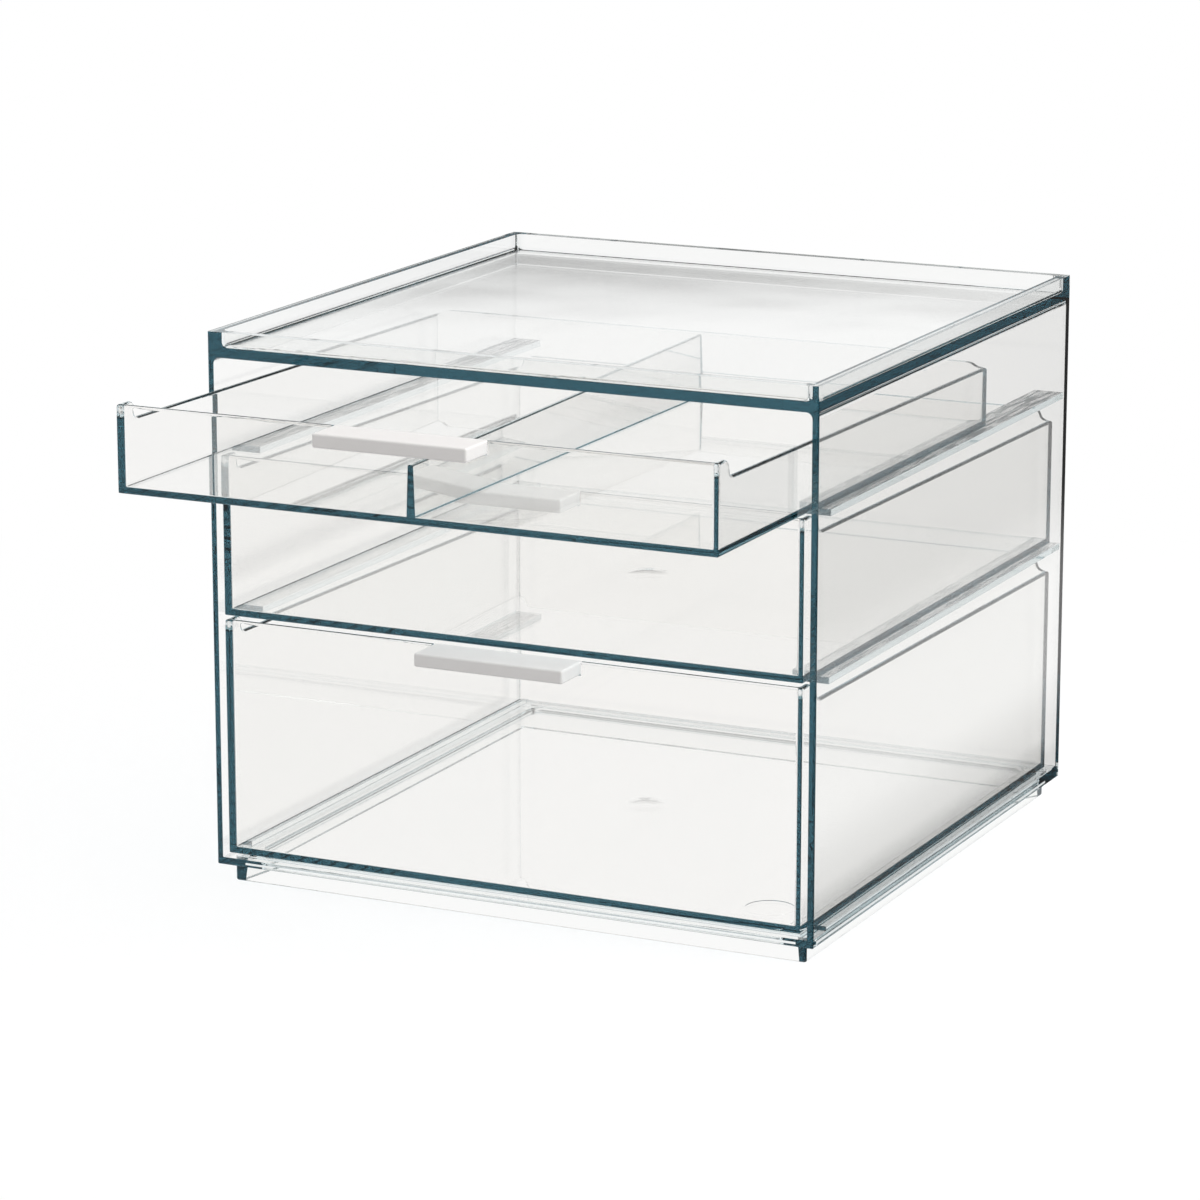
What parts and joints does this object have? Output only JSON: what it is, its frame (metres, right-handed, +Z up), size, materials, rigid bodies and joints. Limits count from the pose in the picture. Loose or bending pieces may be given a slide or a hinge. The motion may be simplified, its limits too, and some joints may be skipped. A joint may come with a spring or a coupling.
{
  "type": "makeup drawer organizer",
  "caption": "Clear stackable case with sliding drawers on side rails, bar pulls, a lipped top tray and a nesting foot, for make-up and other small things.",
  "frame": {"origin": "middle of the case's footprint, on the plane of the foot ring's underside", "axes": "+X to the right and +Y to the back as seen from the drawer fronts, +Z up; the drawers open along -Y"},
  "size_m": [0.2, 0.278, 0.173],
  "materials": {
    "clear_plastic": "clear, polished, with a faint blue-green tint",
    "pull_plastic": "opaque, satin, off-white"
  },
  "bodies": {
    "case": {"base_frame": "clear_plastic", "left_wall": "clear_plastic", "right_wall": "clear_plastic", "back_wall": "clear_plastic", "top_tray": "clear_plastic", "lower_left_rail": "clear_plastic", "lower_right_rail": "clear_plastic", "upper_left_rail": "clear_plastic", "upper_right_rail": "clear_plastic"},
    "bottom_drawer": {"bottom_drawer": "clear_plastic", "bottom_pull": "pull_plastic"},
    "middle_drawer": {"middle_drawer": "clear_plastic", "middle_pull": "pull_plastic"},
    "top_drawer": {"top_drawer": "clear_plastic", "top_pull": "pull_plastic"}
  },
  "joints": [
    {"name": "bottom_drawer_slide", "type": "slide", "parent": "case", "child": "bottom_drawer", "axis": [0, -1, 0], "range_m": [0, 0.15]},
    {"name": "middle_drawer_slide", "type": "slide", "parent": "case", "child": "middle_drawer", "axis": [0, -1, 0], "range_m": [0, 0.15]},
    {"name": "top_drawer_slide", "type": "slide", "parent": "case", "child": "top_drawer", "axis": [0, -1, 0], "range_m": [-0.06, 0.09]}
  ]
}
